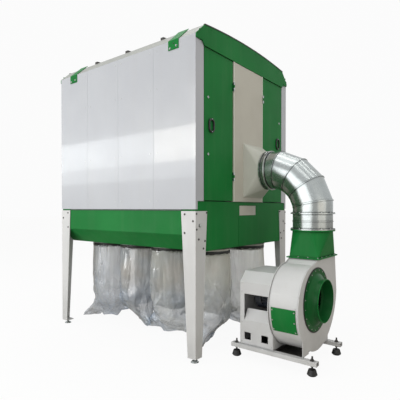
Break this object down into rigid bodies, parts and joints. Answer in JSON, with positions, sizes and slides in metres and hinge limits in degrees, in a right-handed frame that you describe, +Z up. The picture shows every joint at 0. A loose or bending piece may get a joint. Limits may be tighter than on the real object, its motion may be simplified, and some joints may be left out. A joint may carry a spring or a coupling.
{
  "type": "bag filter dust collector",
  "caption": "Modular dust collector: a box-shaped filter cabinet on tapered legs over clear collection bags, fed by a scroll fan through a mitred elbow.",
  "frame": {"origin": "on the floor, under the middle of the box over cabinet and fan", "axes": "+X along the cabinet towards the fan, +Y across it away from the front row of bags, +Z up"},
  "size_m": [3.217, 1.912, 3.297],
  "materials": {
    "side_panel": "gloss light grey paint",
    "pale_panel": "satin pale grey paint",
    "green_paint": "gloss green paint",
    "grey_paint": "satin light grey paint",
    "galvanised": "bright galvanised sheet",
    "bag_film": "clear film",
    "black_plastic": "matt black",
    "rubber": "matt black rubber",
    "dark_steel": "dark steel",
    "motor_paint": "dark grey paint"
  },
  "bodies": {
    "plant": {"front_panel_1": "side_panel", "front_panel_2": "side_panel", "front_panel_3": "side_panel", "front_panel_4": "side_panel", "rear_panel_1": "side_panel", "rear_panel_2": "side_panel", "rear_panel_3": "side_panel", "rear_panel_4": "side_panel", "roof": "side_panel", "eaves": "side_panel", "inlet_panel": "pale_panel", "blind_end_centre_panel": "pale_panel", "inlet_hood": "pale_panel", "fan_end_cap": "green_paint", "blind_end_cap": "green_paint", "roof_brackets": "green_paint", "blind_end_panels": "green_paint", "hopper_sides": "green_paint", "hopper_ends": "green_paint", "hopper_floor": "green_paint", "transition": "green_paint", "fan_inlet": "green_paint", "scroll_hatch": "green_paint", "end_posts": "grey_paint", "legs": "grey_paint", "scroll_band": "grey_paint", "casing_plates": "grey_paint", "motor_cover": "grey_paint", "fan_rails": "grey_paint", "bag_collars": "galvanised", "door_hinges": "galvanised", "hood_collar": "galvanised", "elbow": "galvanised", "drop_duct": "galvanised", "front_bags": "bag_film", "rear_bags": "bag_film", "bag_straps": "black_plastic", "fan_feet": "rubber", "roof_seams": "dark_steel", "levelling_feet": "dark_steel", "impeller": "dark_steel", "fan_cross_beams": "dark_steel", "motor": "motor_paint"},
    "front_door": {"front_door": "green_paint", "front_door_handle": "black_plastic"},
    "rear_door": {"rear_door": "green_paint", "rear_door_handle": "black_plastic"}
  },
  "joints": [
    {"name": "front_door_hinge", "type": "hinge", "parent": "plant", "child": "front_door", "pos_m": [0.6195, -0.315, 2.286], "axis": [0, 0, 1], "range_deg": [0, 90]},
    {"name": "rear_door_hinge", "type": "hinge", "parent": "plant", "child": "rear_door", "pos_m": [0.6195, 0.315, 2.286], "axis": [0, 0, -1], "range_deg": [0, 90]}
  ]
}
